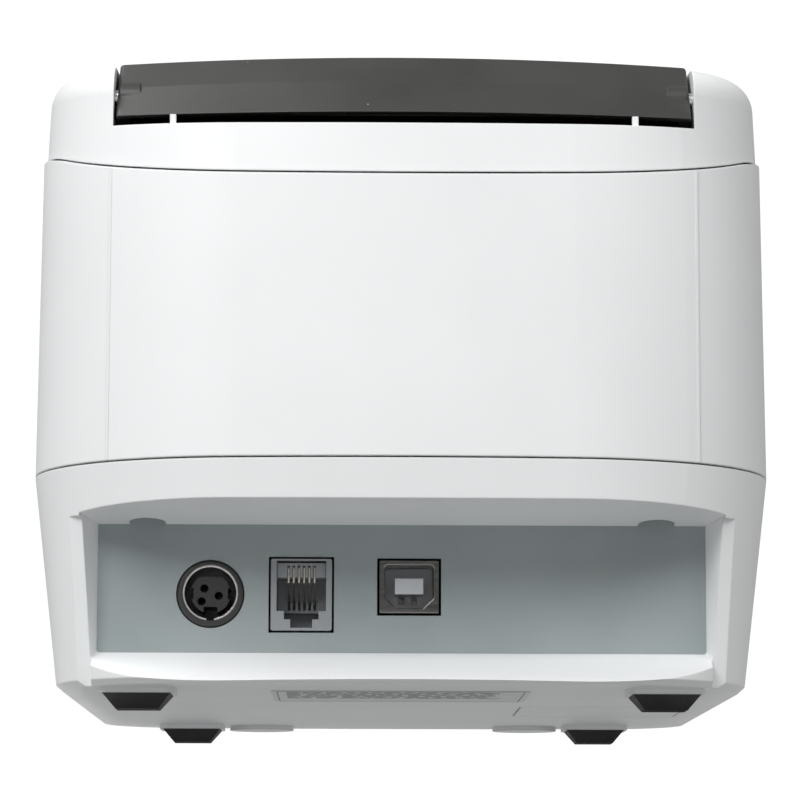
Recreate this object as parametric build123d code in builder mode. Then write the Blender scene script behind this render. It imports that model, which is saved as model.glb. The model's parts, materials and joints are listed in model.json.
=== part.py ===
"""Desktop thermal receipt printer with a rear-hinged lid, built as separate pieces.

Frame: origin on the table under the middle of the case, +X to the printer's
left seen from behind, +Y towards the rear connectors, +Z up. Millimetres.
"""
from build123d import *
from math import acos, asin, cos, degrees, pi, radians, sin, sqrt, tan
import os

# ---------------------------------------------------------------- case size
WIDTH = 147.0
DEPTH = 195.0
REAR = DEPTH / 2
FRONT = -REAR
WALL = 2.4
FLOOR_Z = 4.1                 # underside of the base tray
SEAM_Z = 46.8                 # level seam between tray and middle housing
SEAM_GAP = 0.35
BASE_TAPER = 4.9              # inset of the tray's bottom edge
ROOF_PEAK_Z = 129.7           # highest line of the upper frame
ROOF_PEAK_Y = 17.5
ROOF_R = 600.0
LID_PROUD = 2.0               # lid stands this far above the frame's roof
ROOF_EDGE = 6.5               # round along the top of the case
BOTTOM_EDGE = 1.2             # bevel round the bottom of the case

# plan outline: crowned rear, two-radius rear corners, crowned front
CROWN_R, CROWN_X = 400.0, 33.0
HAUNCH_R, HAUNCH_X = 50.0, 55.0
FRONT_CROWN_R, FRONT_CORNER_R = 700.0, 26.0

# ---------------------------------------------------------------- lid opening
NOTCH_X = 57.0                # half width of the opening in the upper frame
NOTCH_FLOOR_Z = 112.0         # top of the rear wall under the lid, at the middle
NOTCH_FLOOR_RISE = 0.124      # climb of that top per millimetre forwards
OPENING_FRONT = -55.4
LID_X = 56.4
LID_FRONT = -50.0
HINGE_Y = REAR - 17.0
HINGE_Z = 120.0
HINGE_PIN_R = 1.5
RUNNING = 0.05                # radial clearance of turning fits

# ---------------------------------------------------------------- rear bay
BAY_DEPTH = 25.0              # connector panel behind the rearmost point
BAY_X, BAY_LOW, BAY_HIGH = 59.7, 11.0, 36.2
BAY_MOUTH_Y = REAR + 1.0      # plane of the drawn mouth, just clear of the case
BAY_MOUTH_HALF = (69.5, 67.5)           # half widths of the mouth, top and bottom
BAY_MOUTH_LOW, BAY_MOUTH_HIGH = (2.7, -1.6), (39.1, 40.4)       # heights, middle and sides
BAY_CORNER, BAY_MOUTH_CORNER = 0.6, 1.6
BAY_LINER = 2.2
BAND_HIGH, BAND_LOW = 37.0, -2.0         # heights between which the bands beside the mouth are drawn
BAND_INNER = ((61.2, REAR - 17.0), (60.2, REAR - 23.6))         # inner line of a band, top and bottom
BAND_OUTER = ((69.2, REAR - 21.6), (69.2, REAR - 25.5))
RELIEF_X, RELIEF_R, RELIEF_REACH = 50.0, 3.55, 1.5
PANEL_Y = REAR - BAY_DEPTH
PANEL_T = 1.0
JACK_X, JACK_Z = 37.6, 22.5
DRAWER_X, DRAWER_Z = 19.75, 22.4
USB_X, USB_Z = -1.4, 24.0

# ---------------------------------------------------------------- feet
FOOT_TOP, FOOT_TIP = 13.3, 8.4
FOOT_H = 2.95
REAR_FOOT = (51.7, REAR - 28.0)
FRONT_FOOT = (47.1, REAR - 172.0)

# ---------------------------------------------------------------- paper and print mechanism
ROLL_Y, ROLL_Z = 25.0, 66.0   # middle of an 80 mm roll
BUCKET_R, BUCKET_X, BUCKET_T = 42.0, 41.5, 2.0
BUCKET_RIM_Z = 98.0
PLATEN_Y, PLATEN_Z = -38.0, 104.0
PLATEN_R, PLATEN_HALF = 6.0, 40.5
SHAFT_R, BUSH_R = 2.5, 4.0
SIDE_PLATE_X, SIDE_PLATE_T = 45.5, 1.5
GEAR_X, GEAR_W = 48.5, 4.0
MODULE, PRESSURE = 0.8, radians(20)
PLATEN_TEETH, IDLER_TEETH, PINION_TEETH = 20, 28, 14
IDLER_BORE_R = 2.0
MOTOR_R, MOTOR_LENGTH = 14.0, 24.0
HEAD_TILT = 45.0
HEAD_GAP = 0.3

# ---------------------------------------------------------------- cutter
BLADE_Z, BLADE_T, BLADE_HALF = 110.2, 1.0, 41.5
BLADE_TIP, BLADE_BACK = -57.0, -86.0
RACK_X, RACK_W = 30.0, 4.0
CUTTER_LOW, CUTTER_HIGH = 94.0, 112.3

BOARD_Z, BOARD_T = 13.4, 1.6


def plan_outline(z, inset):
    """Plan of the case at height z, drawn inset from its widest outline."""
    crown = degrees(asin(CROWN_X / CROWN_R))
    haunch_sin = CROWN_X / CROWN_R + (HAUNCH_X - CROWN_X) / HAUNCH_R
    haunch = degrees(asin(haunch_sin))
    corner_r = (WIDTH / 2 - HAUNCH_X) / (1 - haunch_sin)
    front = degrees(asin((WIDTH / 2 - FRONT_CORNER_R) / (FRONT_CROWN_R - FRONT_CORNER_R)))
    with BuildSketch(Plane.XY.offset(z)) as plan:
        with BuildLine():
            rear_arc = JernArc((0, REAR - inset), (1, 0), CROWN_R - inset, -crown)
            haunch_arc = JernArc(rear_arc @ 1, rear_arc % 1, HAUNCH_R - inset, crown - haunch)
            rear_corner = JernArc(haunch_arc @ 1, haunch_arc % 1, corner_r - inset, haunch - 90)
            front_arc = JernArc((0, FRONT + inset), (1, 0), FRONT_CROWN_R - inset, front)
            front_corner = JernArc(front_arc @ 1, front_arc % 1, FRONT_CORNER_R - inset, 90 - front)
            Line(rear_corner @ 1, front_corner @ 1)
            mirror(about=Plane.YZ)
        make_face()
    return plan.sketch


def roof_z(y, proud=0.0):
    """Height of the crowned roof at y."""
    return ROOF_PEAK_Z + proud - ROOF_R + sqrt(ROOF_R ** 2 - (y - ROOF_PEAK_Y) ** 2)


def under_roof(y_low, y_high, z_low, proud):
    """YZ region from z_low up to the roof arc."""
    mid = (y_low + y_high) / 2
    with BuildSketch(Plane.YZ) as region:
        with BuildLine():
            ThreePointArc((y_low, roof_z(y_low, proud)), (mid, roof_z(mid, proud)),
                          (y_high, roof_z(y_high, proud)))
            Polyline((y_high, roof_z(y_high, proud)), (y_high, z_low), (y_low, z_low),
                     (y_low, roof_z(y_low, proud)))
        make_face()
    return region.sketch


def above_seam(raised):
    """YZ region above the seam between middle housing and upper frame."""
    rear_end, knee, front_end = (REAR + 10, 98.6), (REAR - 32, 111.0), (FRONT - 10, 102.4)
    with BuildSketch(Plane.YZ) as region:
        with BuildLine():
            FilletPolyline((rear_end[0], rear_end[1] + raised), (knee[0], knee[1] + raised),
                           (front_end[0], front_end[1] + raised), radius=60)
            Polyline((front_end[0], front_end[1] + raised), (front_end[0], 160),
                     (rear_end[0], 160), (rear_end[0], rear_end[1] + raised))
        make_face()
    return region.sketch


TRAY_LOW, TRAY_HIGH = (FLOOR_Z, BASE_TAPER), (SEAM_Z - SEAM_GAP / 2, 0.0)
MIDDLE_LOW, MIDDLE_HIGH = (SEAM_Z + SEAM_GAP / 2, 0.0), (114.0, 0.8)
UPPER_LOW, UPPER_HIGH = (98.0, 0.9), (132.0, 2.5)


def tapered_form(low, high, extra=0.0):
    """Solid between two insets of the plan outline."""
    with BuildPart() as form:
        loft(sections=[plan_outline(low[0], low[1] + extra), plan_outline(high[0], high[1] + extra)],
             ruled=True)
    return form.part


def upper_form(extra):
    """Upper case with its crowned roof and rounded top edge."""
    with BuildPart() as form:
        add(tapered_form(UPPER_LOW, UPPER_HIGH, extra))
        extrude(under_roof(FRONT - 5, REAR + 5, UPPER_LOW[0], -extra), amount=WIDTH, both=True,
                mode=Mode.INTERSECT)
        top = form.faces().sort_by(Axis.Z)[-1]
        fillet(top.edges(), radius=ROOF_EDGE)
    return form.part


def write(piece, name):
    piece.part.label = name
    export_step(piece.part, "parts/" + name + ".step")


os.makedirs("parts", exist_ok=True)

# ================================================================ base tray
BOARD_POSTS = [(x, y) for x in (-50, 50) for y in (14, 60)]
MECH_POSTS = [(x, y) for x in (-38, 38) for y in (-62, -30)]
MECH_FLOOR_Z = 40.0
ACCESS_X, ACCESS_Y = (-62.0, -26.0), (REAR - 129.0, REAR - 90.0)
SWITCH_X, SWITCH_Z = -42.0, 26.0
SWITCH_W, SWITCH_H = 13.0, 19.0


def bay_section(y, grow):
    """Section of the connector bay at y, blended between the panel and the drawn mouth."""
    share = (y - PANEL_Y) / (BAY_MOUTH_Y - PANEL_Y)
    top = BAY_X + share * (BAY_MOUTH_HALF[0] - BAY_X) + grow
    bottom = BAY_X + share * (BAY_MOUTH_HALF[1] - BAY_X) + grow
    low, low_side = [BAY_LOW - 0.01 * i + share * (BAY_MOUTH_LOW[i] - BAY_LOW) - grow for i in (0, 1)]
    high, high_side = [BAY_HIGH - 0.01 * i + share * (BAY_MOUTH_HIGH[i] - BAY_HIGH) + grow for i in (0, 1)]
    with BuildSketch(Plane.XZ.offset(-y)) as section:
        with BuildLine():
            ThreePointArc((top, high_side), (0, high), (-top, high_side))
            Line((-top, high_side), (-bottom, low_side))
            ThreePointArc((-bottom, low_side), (0, low), (bottom, low_side))
            Line((bottom, low_side), (top, high_side))
        make_face()
        fillet(section.vertices().group_by(Axis.Y)[0],
               radius=BAY_CORNER + share * (BAY_MOUTH_CORNER - BAY_CORNER) + grow)
    return section.sketch


def bay_form(grow):
    """Bay volume from the panel out past the rear of the case."""
    with BuildPart() as form:
        loft(sections=[bay_section(PANEL_Y, grow), bay_section(BAY_MOUTH_Y, grow)], ruled=True)
    return form.part


def band_section(z, inner, outer, side):
    """Plan of what a band beside the bay mouth cuts away at height z."""
    with BuildSketch(Plane.XY.offset(z)) as section:
        with BuildLine():
            Polyline((side * inner[0], inner[1]), (side * outer[0], outer[1]), (side * outer[0], REAR + 5),
                     (side * inner[0], REAR + 5), (side * inner[0], inner[1]))
        make_face()
    return section.sketch


bay_liner = bay_form(BAY_LINER)

with BuildPart() as base_tray:
    add(tapered_form(TRAY_LOW, TRAY_HIGH))
    chamfer(base_tray.faces().sort_by(Axis.Z)[0].edges(), length=BOTTOM_EDGE)
    inner = loft(sections=[plan_outline(FLOOR_Z + WALL, BASE_TAPER + WALL),
                           plan_outline(SEAM_Z + 1, WALL)], ruled=True, mode=Mode.PRIVATE)
    add(inner - bay_liner, mode=Mode.SUBTRACT)
    add(bay_form(0), mode=Mode.SUBTRACT)
    # flat bands that blunt both side edges of the bay mouth
    for side in (-1, 1):
        loft(sections=[band_section(BAND_LOW, BAND_INNER[1], BAND_OUTER[1], side),
                       band_section(BAND_HIGH, BAND_INNER[0], BAND_OUTER[0], side)],
             ruled=True, mode=Mode.SUBTRACT)
    # half-round screw reliefs in the bay ceiling, against the panel
    with BuildSketch(Plane.XY.offset(BAY_HIGH - 2)):
        for x in (-RELIEF_X, RELIEF_X):
            with Locations((x, PANEL_Y + RELIEF_REACH)):
                Circle(RELIEF_R)
            with Locations((x, PANEL_Y + RELIEF_REACH / 2)):
                Rectangle(2 * RELIEF_R, RELIEF_REACH)
    extrude(amount=3.8, mode=Mode.SUBTRACT)
    # posts for the circuit board and the print mechanism
    with BuildSketch(Plane.XY.offset(FLOOR_Z + 1)):
        with Locations(*BOARD_POSTS):
            Circle(3)
    extrude(amount=BOARD_Z - FLOOR_Z - 1)
    with BuildSketch(Plane.XY.offset(FLOOR_Z + 1)):
        with Locations(*MECH_POSTS):
            Circle(4)
    extrude(amount=MECH_FLOOR_Z - FLOOR_Z - 1)
    # foot sockets and front bosses under the floor
    with BuildSketch(Plane.XY.offset(FOOT_H)):
        for x, y in (REAR_FOOT, FRONT_FOOT):
            with Locations((x, y), (-x, y)):
                RectangleRounded(FOOT_TOP + 1.6, FOOT_TOP + 1.6, 2)
                Rectangle(FOOT_TOP + 0.02, FOOT_TOP + 0.02, mode=Mode.SUBTRACT)
    extrude(amount=FLOOR_Z - FOOT_H)
    with BuildSketch(Plane.XY.offset(FLOOR_Z - 1)):
        with Locations((31, REAR - 178), (-31, REAR - 178)):
            Circle(7.5)
    extrude(amount=1.2)
    # access hatch and power switch openings
    with BuildSketch(Plane.XY.offset(FLOOR_Z - 1)):
        with Locations((sum(ACCESS_X) / 2, sum(ACCESS_Y) / 2)):
            RectangleRounded(ACCESS_X[1] - ACCESS_X[0], ACCESS_Y[1] - ACCESS_Y[0], 2)
    extrude(amount=WALL + 2, mode=Mode.SUBTRACT)
    with BuildSketch(Plane.XZ.offset(-FRONT - 15)):
        with Locations((SWITCH_X, SWITCH_Z)):
            Rectangle(SWITCH_W, SWITCH_H)
    extrude(amount=30, mode=Mode.SUBTRACT)
write(base_tray, "base_tray")

# ================================================================ middle housing
RIDGE_X, RIDGE_W, RIDGE_PROUD = 57.3, 0.5, 0.12
with BuildPart() as middle_housing:
    add(tapered_form(MIDDLE_LOW, MIDDLE_HIGH))
    add(tapered_form((MIDDLE_LOW[0] - 1, MIDDLE_LOW[1]), (MIDDLE_HIGH[0] + 1, MIDDLE_HIGH[1]), WALL),
        mode=Mode.SUBTRACT)
    # fine parting ridges down the rear, just inside the corners
    with BuildSketch(Plane.XY.offset(SEAM_Z)):
        with Locations((-RIDGE_X, REAR - 12), (RIDGE_X, REAR - 12)):
            Rectangle(RIDGE_W, 16)
    ridges = extrude(amount=80, mode=Mode.PRIVATE)
    ridge_skin = (tapered_form(MIDDLE_LOW, MIDDLE_HIGH, -RIDGE_PROUD)
                  - tapered_form(MIDDLE_LOW, MIDDLE_HIGH, WALL / 2))
    add(ridges & ridge_skin)
    extrude(above_seam(0), amount=WIDTH, both=True, mode=Mode.SUBTRACT)
    # shelves inside both side walls that carry the paper bucket
    for side in (-1, 1):
        with BuildSketch(Plane.XY.offset(92)):
            with Locations((side * 65.7, 30)):
                Rectangle(12, 60)
        extrude(amount=4)
write(middle_housing, "middle_housing")

# ================================================================ upper frame
CHEEK_X = NOTCH_X + WALL
STOP_X = 45.0
CONTROL_X, CONTROL_Y = (14.0, 52.0), (-86.0, -62.0)
RELEASE_X, RELEASE_Y = 62.6, -32.0
RELEASE_W, RELEASE_L = 5.2, 20.0


def notch_floor(y):
    """Height of the sloping top of the rear wall."""
    return NOTCH_FLOOR_Z + NOTCH_FLOOR_RISE * (REAR - 1.8 - y)


opening_walls = Pos(0, (OPENING_FRONT - WALL + REAR + 5) / 2, 110) * Box(
    2 * CHEEK_X, REAR + 5 - OPENING_FRONT + WALL, 60)
frame_hollow = (upper_form(WALL) + tapered_form((90.0, UPPER_LOW[1]), (99.0, UPPER_LOW[1]), WALL)
                - opening_walls)
rear_zone = Pos(0, REAR - 20, 110) * Box(2 * NOTCH_X, 50, 50)
rear_hollow = tapered_form((90.0, UPPER_LOW[1] - 0.3), UPPER_HIGH, WALL) & rear_zone
rear_bevel = tapered_form((110.6, 1.8 + WALL), (113.6, 2.2)) & rear_zone

with BuildPart() as upper_frame:
    add(upper_form(0))
    extrude(above_seam(SEAM_GAP), amount=WIDTH, both=True, mode=Mode.INTERSECT)
    add(frame_hollow, mode=Mode.SUBTRACT)
    # the lid opening, with the rear wall left standing to the notch floor
    with BuildSketch(Plane.XY.offset(90)):
        with Locations((0, (OPENING_FRONT + REAR - 30) / 2)):
            Rectangle(2 * NOTCH_X, REAR - 30 - OPENING_FRONT)
    extrude(amount=50, mode=Mode.SUBTRACT)
    with BuildSketch(Plane.YZ):
        with BuildLine():
            Polyline((REAR + 5, notch_floor(REAR + 5)), (REAR - 35, notch_floor(REAR - 35)),
                     (REAR - 35, 140), (REAR + 5, 140), (REAR + 5, notch_floor(REAR + 5)))
        make_face()
    extrude(amount=NOTCH_X, both=True, mode=Mode.SUBTRACT)
    add(rear_hollow, mode=Mode.SUBTRACT)
    add(rear_bevel, mode=Mode.SUBTRACT)
    # clearance for the cutter blade under the front edge of the opening
    with BuildSketch(Plane.XY.offset(95)):
        with Locations((0, OPENING_FRONT - WALL / 2)):
            Rectangle(2 * NOTCH_X, WALL + 2)
    extrude(amount=CUTTER_HIGH + 0.4 - 95, mode=Mode.SUBTRACT)
    # small stops on top of the rear wall
    for x in (-STOP_X, STOP_X):
        with BuildSketch(Plane.XY.offset(NOTCH_FLOOR_Z - 1.6)):
            with Locations((x, REAR - 6.9)):
                Rectangle(1.2, 1.5)
        extrude(amount=4.0)
    # hinge pin holes through both cheeks
    with Locations((0, HINGE_Y, HINGE_Z)):
        Cylinder(HINGE_PIN_R, 2 * CHEEK_X + 0.4, rotation=(0, 90, 0), mode=Mode.SUBTRACT)
    # openings for the control panel and the lid release button
    with BuildSketch(Plane.XY.offset(100)):
        with Locations((sum(CONTROL_X) / 2, sum(CONTROL_Y) / 2)):
            RectangleRounded(CONTROL_X[1] - CONTROL_X[0] + 0.3, CONTROL_Y[1] - CONTROL_Y[0] + 0.3, 4.15)
        with Locations((RELEASE_X, RELEASE_Y)):
            RectangleRounded(RELEASE_W + 0.6, RELEASE_L + 0.6, 2.3)
    extrude(amount=40, mode=Mode.SUBTRACT)
write(upper_frame, "upper_frame")

# ================================================================ lid
LID_T = 2.4
LID_SKIRT = (REAR - 5.5, 115.0)         # lower edge of the rear facet at the middle
LID_CREASE = (REAR - 11.0, 122.3)
LID_TOP_Y = REAR - 17.0
LID_REAR_R = 330.0            # plan radius of the lid's rear edge
LID_DROOP = radians(7.5)      # lean of the turning axis, which lowers the lid's sides
LID_AXIS = Axis((0, LID_SKIRT[0] - LID_REAR_R, LID_SKIRT[1]), (0, -sin(LID_DROOP), cos(LID_DROOP)))


def lid_body(shrink):
    """Lid block: rear facets and crowned top turned about a far, leaning axis."""
    y_front = LID_FRONT - 12
    y_top = LID_TOP_Y - shrink * 0.6
    z_front, z_top = roof_z(y_front, LID_PROUD - shrink), roof_z(y_top, LID_PROUD - shrink)
    y_mid = (y_front + y_top) / 2
    z_low = LID_SKIRT[1] - 4
    facet = (LID_SKIRT[0] - LID_CREASE[0]) / (LID_CREASE[1] - LID_SKIRT[1])
    with BuildPart() as body:
        with BuildSketch(Plane.YZ):
            with BuildLine():
                ThreePointArc((y_front, z_front), (y_mid, roof_z(y_mid, LID_PROUD - shrink)), (y_top, z_top))
                Polyline((y_top, z_top), (LID_CREASE[0] - shrink * 0.8, LID_CREASE[1] - shrink * 0.9),
                         (LID_SKIRT[0] + 4 * facet - shrink, z_low), (y_front, z_low), (y_front, z_front))
            make_face()
        revolve(axis=LID_AXIS, revolution_arc=40)
    turned = body.part.rotate(LID_AXIS, -20)
    half, front = LID_X - shrink, LID_FRONT + shrink
    low = LID_SKIRT[1] - (1 if shrink else 0)
    return turned & (Pos(0, (front + REAR) / 2, low + 20) * Box(2 * half, REAR - front, 40))


lid_outside, lid_inside = lid_body(0), lid_body(LID_T)

with BuildPart() as lid_shell:
    add(lid_outside)
    rim = lid_shell.edges().filter_by(lambda e: abs(e.center().X) > LID_X - 0.1 and e.center().Z > 118)
    fillet(rim, radius=0.8)
    add(lid_inside, mode=Mode.SUBTRACT)
    # hinge bosses, and posts for the platen bracket and the inner guide
    with BuildSketch(Plane.YZ.offset(LID_X - 4.5)):
        with Locations((HINGE_Y, HINGE_Z)):
            Circle(2.9)
    extrude(amount=4)
    with BuildSketch(Plane.YZ.offset(-LID_X + 0.5)):
        with Locations((HINGE_Y, HINGE_Z)):
            Circle(2.9)
    extrude(amount=4)
    with Locations((0, HINGE_Y, HINGE_Z)):
        Cylinder(HINGE_PIN_R + RUNNING, 2 * LID_X + 2, rotation=(0, 90, 0), mode=Mode.SUBTRACT)
    with BuildSketch(Plane.XY.offset(119)):
        with Locations((-30, PLATEN_Y), (30, PLATEN_Y)):
            Circle(3)
    extrude(amount=8)
    with BuildSketch(Plane.XY.offset(121.5)):
        with Locations((-34, 0), (34, 0), (-34, 60), (34, 60)):
            Circle(2.5)
    extrude(amount=7.5)
write(lid_shell, "lid_shell")

HINGE_PIN_X, HINGE_PIN_LENGTH = 55.7, 7.4
with BuildPart() as hinge_pins:
    for x in (-HINGE_PIN_X, HINGE_PIN_X):
        with Locations((x, HINGE_Y, HINGE_Z)):
            Cylinder(HINGE_PIN_R, HINGE_PIN_LENGTH, rotation=(0, 90, 0))
write(hinge_pins, "hinge_pins")

with BuildPart() as lid_inner_guide:
    with BuildSketch(Plane.YZ):
        with BuildLine():
            Polyline((-16, 119.5), (76, 119.5), (82.4, 116.2), (83.0, 118.0), (76.4, 121.5), (-16, 121.5),
                     (-16, 119.5))
        make_face()
    extrude(amount=42, both=True)
write(lid_inner_guide, "lid_inner_guide")

# ================================================================ platen unit in the lid
EAR_X, EAR_T = 42.0, 1.5
with BuildPart() as platen_bracket:
    with BuildSketch(Plane.XY.offset(117.4)):
        with Locations((0, PLATEN_Y)):
            Rectangle(2 * (EAR_X + EAR_T), 14)
    extrude(amount=1.6)
    for x in (-EAR_X - EAR_T, EAR_X):
        with BuildSketch(Plane.YZ.offset(x)):
            with Locations((PLATEN_Y, 110)):
                Rectangle(12, 16)
            with Locations((PLATEN_Y, PLATEN_Z)):
                Circle(6)
                Circle(BUSH_R, mode=Mode.SUBTRACT)
        extrude(amount=EAR_T)
write(platen_bracket, "platen_bracket")

with BuildPart() as platen_bushings:
    for side in (-1, 1):
        with Locations((side * 44.6, PLATEN_Y, PLATEN_Z)):
            Cylinder(BUSH_R, 5.4, rotation=(0, 90, 0))
    with Locations((0, PLATEN_Y, PLATEN_Z)):
        Cylinder(SHAFT_R + RUNNING, 110, rotation=(0, 90, 0), mode=Mode.SUBTRACT)
write(platen_bushings, "platen_bushings")

with BuildPart() as platen_roller:
    with Locations((0, PLATEN_Y, PLATEN_Z)):
        Cylinder(PLATEN_R, 2 * PLATEN_HALF, rotation=(0, 90, 0))
        Cylinder(SHAFT_R, 2 * PLATEN_HALF, rotation=(0, 90, 0), mode=Mode.SUBTRACT)
write(platen_roller, "platen_roller")

with BuildPart() as platen_shaft:
    with Locations((2.2, PLATEN_Y, PLATEN_Z)):
        Cylinder(SHAFT_R, 100.8, rotation=(0, 90, 0))
write(platen_shaft, "platen_shaft")


# ================================================================ gears
def gear_tooth(teeth):
    """Closed outline of one involute tooth pointing along local +X."""
    pitch_r = MODULE * teeth / 2
    base_r = pitch_r * cos(PRESSURE)
    root_r = pitch_r - 1.1 * MODULE
    tip_r = pitch_r + 0.8 * MODULE
    backlash = 0.12
    half_at_pitch = pi / (2 * teeth) - backlash / (2 * pitch_r)

    def half_angle(r):
        pressure = acos(min(1.0, base_r / r))
        return half_at_pitch + (tan(PRESSURE) - PRESSURE) - (tan(pressure) - pressure)

    start_r = max(base_r, root_r)
    radii = [root_r - 0.3] + [start_r + (tip_r - start_r) * i / 4 for i in range(5)]
    upper = [(r * cos(half_angle(r)), r * sin(half_angle(r))) for r in radii]
    lower = [(x, -y) for x, y in reversed(upper)]
    return upper + lower + [upper[0]]


def gear_face(teeth, x, centre, phase):
    """Gear outline in the YZ plane at x, with one tooth turned to phase degrees."""
    with BuildSketch(Plane.YZ.offset(x)) as face:
        with Locations(centre):
            Circle(MODULE * teeth / 2 - 1.1 * MODULE)
            with PolarLocations(0, teeth, start_angle=phase):
                Polygon(*gear_tooth(teeth)[:-1], align=None)
    return face.sketch


def mesh_phase(phase, teeth, turn, mate_teeth):
    """Phase of a mate lying in direction turn from a gear with the given phase."""
    pitch = 360 / teeth
    offset_angle = (turn - phase) % pitch
    return turn + 180 + offset_angle * teeth / mate_teeth + 180 / mate_teeth


PLATEN_GEAR_PHASE = -90.0
IDLER_REACH = MODULE * (PLATEN_TEETH + IDLER_TEETH) / 2
IDLER_AT = (PLATEN_Y, PLATEN_Z - IDLER_REACH)
IDLER_PHASE = mesh_phase(PLATEN_GEAR_PHASE, PLATEN_TEETH, -90.0, IDLER_TEETH)
MOTOR_TURN = 200.0
MOTOR_REACH = MODULE * (IDLER_TEETH + PINION_TEETH) / 2
MOTOR_AT = (IDLER_AT[0] + MOTOR_REACH * cos(radians(MOTOR_TURN)),
            IDLER_AT[1] + MOTOR_REACH * sin(radians(MOTOR_TURN)))
PINION_PHASE = mesh_phase(IDLER_PHASE, IDLER_TEETH, MOTOR_TURN, PINION_TEETH)

with BuildPart() as platen_gear:
    extrude(gear_face(PLATEN_TEETH, GEAR_X, (PLATEN_Y, PLATEN_Z), PLATEN_GEAR_PHASE), amount=GEAR_W)
    with Locations((GEAR_X, PLATEN_Y, PLATEN_Z)):
        Cylinder(SHAFT_R, 20, rotation=(0, 90, 0), mode=Mode.SUBTRACT)
write(platen_gear, "platen_gear")

with BuildPart() as idler_gear:
    extrude(gear_face(IDLER_TEETH, GEAR_X, IDLER_AT, IDLER_PHASE), amount=GEAR_W)
    with Locations((GEAR_X, *IDLER_AT)):
        Cylinder(IDLER_BORE_R + RUNNING, 20, rotation=(0, 90, 0), mode=Mode.SUBTRACT)
    with BuildSketch(Plane.YZ.offset(GEAR_X + GEAR_W)):
        with Locations(IDLER_AT):
            with PolarLocations(6.4, 5):
                Circle(1.6)
    extrude(amount=-GEAR_W, mode=Mode.SUBTRACT)
write(idler_gear, "idler_gear")

with BuildPart() as motor_pinion:
    extrude(gear_face(PINION_TEETH, GEAR_X, MOTOR_AT, PINION_PHASE), amount=GEAR_W)
    with BuildSketch(Plane.YZ.offset(SIDE_PLATE_X - 4)):
        with Locations(MOTOR_AT):
            Circle(1.5)
    extrude(amount=GEAR_X + GEAR_W - SIDE_PLATE_X + 4)
write(motor_pinion, "motor_pinion")

# ================================================================ print mechanism
HEAD_N = (-cos(radians(HEAD_TILT)), -sin(radians(HEAD_TILT)))
HEAD_REACH = PLATEN_R + HEAD_GAP
HEAD_PLANE = Plane(origin=(0, PLATEN_Y + HEAD_N[0] * HEAD_REACH, PLATEN_Z + HEAD_N[1] * HEAD_REACH),
                   x_dir=(1, 0, 0), z_dir=(0, HEAD_N[0], HEAD_N[1]))

with BuildPart() as mechanism_frame:
    for x in (-SIDE_PLATE_X - SIDE_PLATE_T, SIDE_PLATE_X):
        with BuildSketch(Plane.YZ.offset(x)):
            with BuildLine():
                Polyline((-70, MECH_FLOOR_Z), (-24, MECH_FLOOR_Z), (-24, 96), (-28, 108), (-62, 108),
                         (-70, 92), (-70, MECH_FLOOR_Z))
            make_face()
            with Locations((PLATEN_Y, PLATEN_Z)):
                Circle(BUSH_R + 0.35, mode=Mode.SUBTRACT)
            with BuildLine():
                Polyline((PLATEN_Y - 4.35, PLATEN_Z), (PLATEN_Y + 4.35, PLATEN_Z), (PLATEN_Y + 5.5, 109),
                         (PLATEN_Y - 6.5, 109), (PLATEN_Y - 4.35, PLATEN_Z))
            make_face(mode=Mode.SUBTRACT)
            if x > 0:
                with Locations(MOTOR_AT):
                    Circle(5.0, mode=Mode.SUBTRACT)
        extrude(amount=SIDE_PLATE_T)
    with BuildSketch(Plane.XY.offset(MECH_FLOOR_Z)):
        with Locations((0, -47)):
            Rectangle(2 * SIDE_PLATE_X + 1, 46)
            Rectangle(60, 20, mode=Mode.SUBTRACT)
    extrude(amount=SIDE_PLATE_T)
write(mechanism_frame, "mechanism_frame")

with BuildPart() as idler_stud:
    with BuildSketch(Plane.YZ.offset(SIDE_PLATE_X + SIDE_PLATE_T)):
        with Locations(IDLER_AT):
            Circle(IDLER_BORE_R)
    extrude(amount=GEAR_X + GEAR_W - SIDE_PLATE_X - SIDE_PLATE_T + 0.4)
    with BuildSketch(Plane.YZ.offset(GEAR_X + GEAR_W + 0.4)):
        with Locations(IDLER_AT):
            Circle(3.2)
    extrude(amount=0.8)
write(idler_stud, "idler_stud")

with BuildPart() as feed_motor:
    with BuildSketch(Plane.YZ.offset(SIDE_PLATE_X)):
        with Locations(MOTOR_AT):
            Circle(MOTOR_R)
            Circle(2.0, mode=Mode.SUBTRACT)
    extrude(amount=-MOTOR_LENGTH)
    chamfer(feed_motor.edges().filter_by(GeomType.CIRCLE).sort_by(Axis.X)[:1], length=0.8)
    with BuildSketch(Plane.YZ.offset(SIDE_PLATE_X - MOTOR_LENGTH)):
        with Locations((MOTOR_AT[0], MOTOR_AT[1] - MOTOR_R)):
            Rectangle(12, 6)
    extrude(amount=8)
write(feed_motor, "feed_motor")

with BuildPart() as thermal_head:
    with BuildSketch(HEAD_PLANE):
        with Locations((0, -3)):
            Rectangle(84, 14)
    extrude(amount=1.0)
write(thermal_head, "thermal_head")

with BuildPart() as head_heatsink:
    with BuildSketch(HEAD_PLANE.offset(1.0)):
        with Locations((0, -3)):
            Rectangle(88, 14)
    extrude(amount=5.5)
    with BuildSketch(HEAD_PLANE.offset(6.5)):
        with Locations((0, -3)):
            with GridLocations(0, 3.5, 1, 3):
                Rectangle(88, 1.4)
    extrude(amount=-3.0, mode=Mode.SUBTRACT)
write(head_heatsink, "head_heatsink")

with BuildPart() as head_springs:
    for x in (-24, 24):
        with BuildSketch(HEAD_PLANE.offset(6.6)):
            with Locations((x, -3)):
                Circle(3.0)
                Circle(2.2, mode=Mode.SUBTRACT)
        extrude(amount=1.0)
        with BuildSketch(HEAD_PLANE.offset(7.6)):
            with Locations((x, -3)):
                Circle(2.7)
        extrude(amount=0.4)
write(head_springs, "head_springs")

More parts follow.
